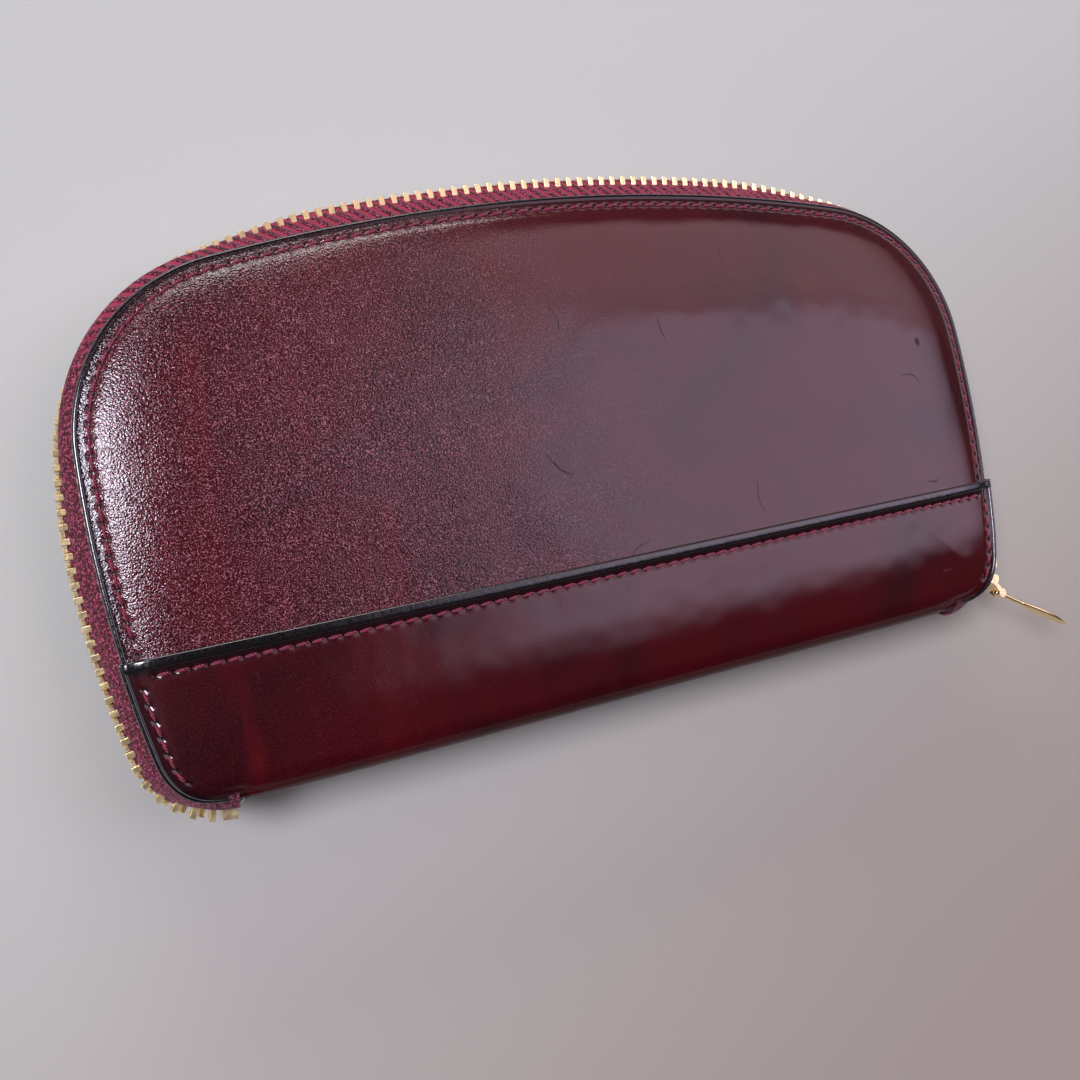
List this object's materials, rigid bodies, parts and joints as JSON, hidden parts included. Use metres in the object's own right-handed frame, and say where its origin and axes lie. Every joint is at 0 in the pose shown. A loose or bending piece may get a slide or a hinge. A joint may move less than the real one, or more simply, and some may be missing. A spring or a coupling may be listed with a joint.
{
  "type": "zip-around long wallet",
  "caption": "Long domed zip-around wallet in glazed leather with a wrap-around base band, card and note compartments, a zipped coin pocket and a metal zip with a leaf pull.",
  "frame": {"origin": "centre of the flat back face that the wallet lies on, half way from the spine to the top of the dome", "axes": "+X along the spine, +Y from the spine to the dome, +Z out of the front cover"},
  "size_m": [0.2253, 0.1194, 0.025],
  "materials": {
    "leather_panel": "glazed burgundy leather with a fine pebble grain",
    "leather_band": "smooth glazed burgundy leather",
    "edge_paint": "near-black gloss edge paint",
    "thread": "waxed burgundy sewing thread",
    "board": "pressed fibre board",
    "lining": "woven dark burgundy lining",
    "inner_leather": "thin matt burgundy leather",
    "zip_tape": "twill-woven zip tape",
    "zip_metal": "pale gold plated teeth",
    "slider_metal": "polished pale gold plating"
  },
  "bodies": {
    "back_cover": {"back_panel": "leather_panel", "back_edge_paint": "edge_paint", "back_band": "leather_band", "back_band_edge": "edge_paint", "back_stitching": "thread", "back_stiffener": "board", "back_lining": "lining", "back_card_backing": "inner_leather", "back_card_tier_1": "inner_leather", "back_card_tier_2": "inner_leather", "back_card_tier_3": "inner_leather", "back_zip_tape": "zip_tape", "back_zip_teeth": "zip_metal", "back_top_stop": "zip_metal"},
    "pocket_core": {"spine_wrap": "leather_band", "spine_board": "board", "pocket_tongue": "inner_leather", "coin_wall_front": "inner_leather", "coin_wall_rear": "inner_leather", "coin_edge_strip": "inner_leather", "coin_tape_front": "zip_tape", "coin_tape_rear": "zip_tape", "coin_teeth_front": "zip_metal", "coin_teeth_rear": "zip_metal", "gusset_left_front": "inner_leather", "gusset_right_front": "inner_leather", "gusset_left_rear": "inner_leather", "gusset_right_rear": "inner_leather", "zip_bottom_stop": "zip_metal"},
    "front_cover": {"front_panel": "leather_panel", "front_edge_paint": "edge_paint", "front_band": "leather_band", "front_band_edge": "edge_paint", "front_stitching": "thread", "front_stiffener": "board", "front_lining": "lining", "front_card_backing": "inner_leather", "front_card_tier_1": "inner_leather", "front_card_tier_2": "inner_leather", "front_card_tier_3": "inner_leather", "front_zip_tape": "zip_tape", "front_zip_teeth": "zip_metal", "front_top_stop": "zip_metal"},
    "zip_slider": {"slider_body": "slider_metal", "slider_pin": "slider_metal"},
    "pull_link": {"pull_link": "slider_metal"},
    "pull_tab": {"pull_tab": "slider_metal"},
    "coin_slider": {"coin_slider_body": "slider_metal"},
    "coin_pull": {"coin_pull": "slider_metal"}
  },
  "joints": [
    {"name": "rear_compartment_fold", "type": "hinge", "parent": "back_cover", "child": "pocket_core", "pos_m": [0, -0.05075, 0.0125], "axis": [1, 0, 0], "range_deg": [0, 40], "deforming": ["back_zip_tape", "back_zip_teeth", "spine_wrap", "gusset_left_rear", "gusset_right_rear"]},
    {"name": "front_compartment_fold", "type": "hinge", "parent": "pocket_core", "child": "front_cover", "pos_m": [0, -0.05075, 0.0125], "axis": [1, 0, 0], "range_deg": [0, 40], "deforming": ["front_zip_tape", "front_zip_teeth", "gusset_left_front", "gusset_right_front"]},
    {"name": "zip_run", "type": "hinge", "parent": "pocket_core", "child": "zip_slider", "pos_m": [-0.12247, 0.00093, 0.0125], "axis": [0, 0, 1], "range_deg": [0, 12]},
    {"name": "link_swing", "type": "hinge", "parent": "zip_slider", "child": "pull_link", "pos_m": [0.10081, -0.04777, 0.0125], "axis": [0, 0, 1], "range_deg": [-45, 60]},
    {"name": "pull_swing", "type": "hinge", "parent": "pull_link", "child": "pull_tab", "pos_m": [0.10314, -0.05173, 0.0125], "axis": [0, 0, 1], "range_deg": [-60, 55]},
    {"name": "coin_zip_run", "type": "slide", "parent": "pocket_core", "child": "coin_slider", "axis": [-1, 0, 0], "range_m": [0, 0.14], "deforming": ["coin_teeth_front", "coin_teeth_rear"]},
    {"name": "coin_pull_flip", "type": "hinge", "parent": "coin_slider", "child": "coin_pull", "pos_m": [0.07, 0.0224, 0.0125], "axis": [0, 0, 1], "range_deg": [-150, 0]}
  ]
}
